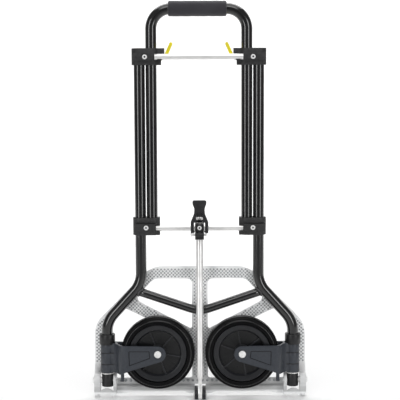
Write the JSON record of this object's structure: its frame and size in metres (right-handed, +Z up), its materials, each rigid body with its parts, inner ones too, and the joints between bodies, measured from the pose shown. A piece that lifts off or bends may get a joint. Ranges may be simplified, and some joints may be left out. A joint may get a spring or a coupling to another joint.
{
  "type": "folding hand truck",
  "caption": "Folding hand truck shown folded: tube frame with sliding U handle, toe plate that folds down and two wheels that swing out, with levers and a latch",
  "frame": {"origin": "middle of the folded truck's footprint, at the height of its lowest point", "axes": "+X to the right seen from behind, +Y the side on which the toe plate opens, +Z up"},
  "size_m": [0.3736, 0.0568, 0.6826],
  "materials": {
    "black_paint": "gloss",
    "bright_steel": "polished",
    "rivet_steel": "satin",
    "bracket_plastic": "grained",
    "yellow_plastic": "satin",
    "grip_foam": "foam",
    "latch_plastic": "satin",
    "plate_aluminium": "cast, dotted tread",
    "collar_plastic": "satin",
    "slate_plastic": "fine grain",
    "rim_plastic": "satin",
    "bush_steel": "turned",
    "tyre_rubber": "smooth"
  },
  "bodies": {
    "frame": {"frame_tube_left": "black_paint", "frame_tube_right": "black_paint", "v_brace": "black_paint", "top_crossbar": "bright_steel", "lower_crossbar": "bright_steel", "top_bracket_rear_left": "bracket_plastic", "top_bracket_rear_right": "bracket_plastic", "top_bracket_front_left": "bracket_plastic", "top_bracket_front_right": "bracket_plastic", "lower_bracket_rear_left": "bracket_plastic", "lower_bracket_rear_right": "bracket_plastic", "lower_bracket_front_left": "bracket_plastic", "lower_bracket_front_right": "bracket_plastic", "bracket_rivets": "rivet_steel", "lever_pins": "rivet_steel", "latch_housing": "latch_plastic", "housing_rivet": "rivet_steel", "latch_pin": "rivet_steel", "collar_left": "collar_plastic", "collar_right": "collar_plastic", "cam_washer_left": "bright_steel", "cam_washer_right": "bright_steel", "tube_foot_left": "collar_plastic", "tube_foot_right": "collar_plastic"},
    "handle": {"handle_tube": "black_paint", "foam_grip": "grip_foam", "guide_shoe_left": "bracket_plastic", "guide_shoe_right": "bracket_plastic"},
    "release_lever_left": {"release_lever_left": "yellow_plastic"},
    "release_lever_right": {"release_lever_right": "yellow_plastic"},
    "latch_lever": {"latch_lever": "latch_plastic"},
    "toe_plate": {"toe_plate": "plate_aluminium", "stay_lugs": "latch_plastic", "lug_bolt": "rivet_steel", "hinge_bolt_left": "rivet_steel", "hinge_bolt_right": "rivet_steel"},
    "stay_rod": {"stay_rod": "bright_steel", "rod_ring": "latch_plastic"},
    "bracket_left": {"wheel_bracket_left": "slate_plastic", "axle_left": "rivet_steel"},
    "bracket_right": {"wheel_bracket_right": "slate_plastic", "axle_right": "rivet_steel"},
    "wheel_left": {"wheel_bush_left": "bush_steel", "wheel_rim_left": "rim_plastic", "tyre_left": "tyre_rubber"},
    "wheel_right": {"wheel_bush_right": "bush_steel", "wheel_rim_right": "rim_plastic", "tyre_right": "tyre_rubber"}
  },
  "joints": [
    {"name": "handle_slide", "type": "slide", "parent": "frame", "child": "handle", "axis": [0, 0, 1], "range_m": [0, 0.255]},
    {"name": "toe_fold", "type": "hinge", "parent": "frame", "child": "toe_plate", "pos_m": [0, 0.014, 0.0301], "axis": [-1, 0, 0], "range_deg": [0, 90]},
    {"name": "rod_pivot", "type": "hinge", "parent": "toe_plate", "child": "stay_rod", "pos_m": [0, -0.0035, 0.0085], "axis": [1, 0, 0], "range_deg": [0, 90]},
    {"name": "wheel_swing_left", "type": "hinge", "parent": "frame", "child": "bracket_left", "pos_m": [-0.161, 0.014, 0.0665], "axis": [0, 0, -1], "range_deg": [0, 90]},
    {"name": "wheel_swing_right", "type": "hinge", "parent": "frame", "child": "bracket_right", "pos_m": [0.161, 0.014, 0.0665], "axis": [0, 0, 1], "range_deg": [0, 90]},
    {"name": "wheel_spin_left", "type": "hinge", "parent": "bracket_left", "child": "wheel_left", "pos_m": [-0.0725, 0.002, 0.082], "axis": [0, 1, 0], "continuous": true},
    {"name": "wheel_spin_right", "type": "hinge", "parent": "bracket_right", "child": "wheel_right", "pos_m": [0.0725, 0.002, 0.082], "axis": [0, 1, 0], "continuous": true},
    {"name": "release_left", "type": "hinge", "parent": "frame", "child": "release_lever_left", "pos_m": [-0.065, 0.014, 0.5865], "axis": [0, 1, 0], "range_deg": [0, 20], "stiffness_Nm_per_rad": 0.05, "springref_deg": -11.46},
    {"name": "release_right", "type": "hinge", "parent": "frame", "child": "release_lever_right", "pos_m": [0.065, 0.014, 0.5865], "axis": [0, -1, 0], "range_deg": [0, 20], "stiffness_Nm_per_rad": 0.05, "springref_deg": -11.46},
    {"name": "latch_tilt", "type": "hinge", "parent": "frame", "child": "latch_lever", "pos_m": [0, -0.0252, 0.2901], "axis": [1, 0, 0], "range_deg": [0, 35], "stiffness_Nm_per_rad": 0.1, "springref_deg": -17.19}
  ],
  "couplings": [
    {"joint": "rod_pivot", "follows": "toe_fold", "ratio": 1},
    {"joint": "wheel_swing_left", "follows": "toe_fold", "ratio": 1},
    {"joint": "wheel_swing_right", "follows": "toe_fold", "ratio": 1}
  ]
}
